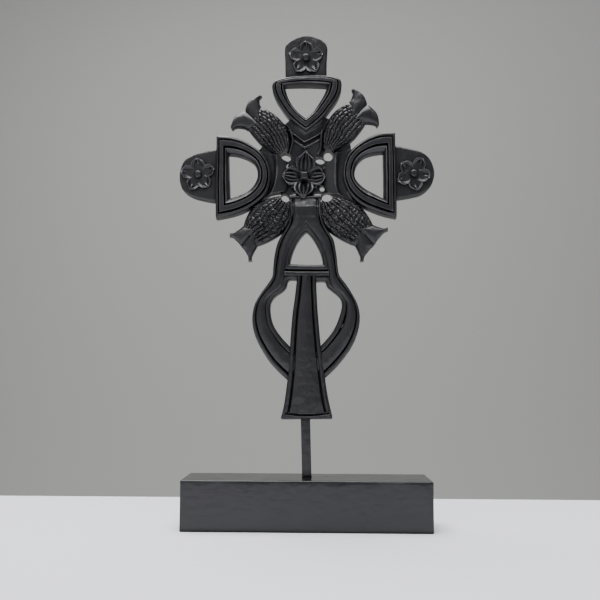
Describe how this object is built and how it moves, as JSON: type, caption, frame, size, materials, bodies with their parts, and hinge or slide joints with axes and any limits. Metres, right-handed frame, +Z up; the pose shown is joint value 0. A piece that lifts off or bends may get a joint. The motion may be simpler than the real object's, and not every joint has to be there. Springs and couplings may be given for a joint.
{
  "type": "carved wooden cross",
  "caption": "Pierced and carved wooden cross, with framed arms, fish between them and a ring round its blade, standing on a square post and a block base.",
  "frame": {"origin": "middle of the base's underside, on the surface that it stands on", "axes": "+Z up along the post and the cross, +X to the right seen from the carved front, -Y towards the viewer of the front"},
  "size_m": [0.2352, 0.057, 0.4511],
  "materials": {
    "carved_wood": "black stain, satin sheen",
    "plain_wood": "black stain, dull satin"
  },
  "bodies": {
    "root": {"carved_cross": "carved_wood", "post": "plain_wood", "base": "plain_wood"}
  },
  "joints": []
}
